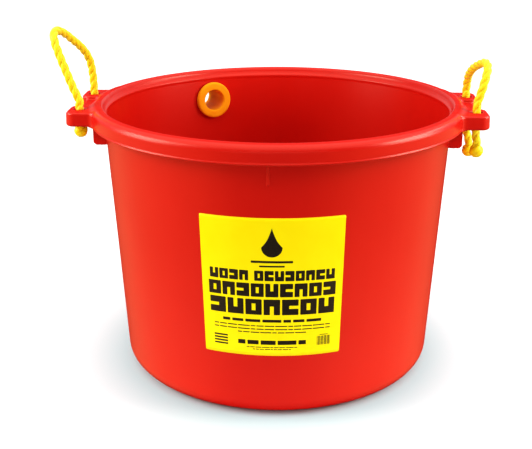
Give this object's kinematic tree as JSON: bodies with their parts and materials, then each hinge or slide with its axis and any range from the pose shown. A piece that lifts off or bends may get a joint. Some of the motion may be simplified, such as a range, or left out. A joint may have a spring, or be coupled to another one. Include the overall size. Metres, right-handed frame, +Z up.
{
  "type": "feed bucket",
  "caption": "Round moulded stable tub with a rolled rim, two rope handles threaded through ears on the rim, a wall label and an overflow bushing.",
  "frame": {"origin": "centre of the base, on the plane that the tub stands on", "axes": "+Z up along the tub's axis; -Y faces the side with the label; the two handles are at -X (left) and +X (right)"},
  "size_m": [0.6435, 0.5684, 0.5203],
  "materials": {
    "tub": "semi-gloss moulded polyethylene",
    "label": "satin printed vinyl",
    "bushing": "semi-gloss moulded plastic",
    "gasket": "matte rubber",
    "rope": "twisted polypropylene"
  },
  "bodies": {
    "tub": {"tub": "tub", "front_label": "label", "overflow_bushing": "bushing", "bushing_gasket": "gasket", "bushing_washer": "gasket", "bushing_nut": "bushing"},
    "left_rope_ends": {"left_front_rope_end": "rope", "left_back_rope_end": "rope", "left_front_stopper": "rope", "left_back_stopper": "rope"},
    "left_handle": {"left_rope_loop": "rope"},
    "right_rope_ends": {"right_front_rope_end": "rope", "right_back_rope_end": "rope", "right_front_stopper": "rope", "right_back_stopper": "rope"},
    "right_handle": {"right_rope_loop": "rope"}
  },
  "joints": [
    {"name": "left_rope_slide", "type": "slide", "parent": "tub", "child": "left_rope_ends", "axis": [0, 0, 1], "range_m": [-0.005, 0]},
    {"name": "left_handle_flop", "type": "hinge", "parent": "left_rope_ends", "child": "left_handle", "pos_m": [-0.291, 0, 0.417], "axis": [0, -1, 0], "range_deg": [-55, 50]},
    {"name": "right_rope_slide", "type": "slide", "parent": "tub", "child": "right_rope_ends", "axis": [0, 0, 1], "range_m": [0, 0.02]},
    {"name": "right_handle_flop", "type": "hinge", "parent": "right_rope_ends", "child": "right_handle", "pos_m": [0.291, 0, 0.417], "axis": [0, 1, 0], "range_deg": [-55, 60]}
  ]
}
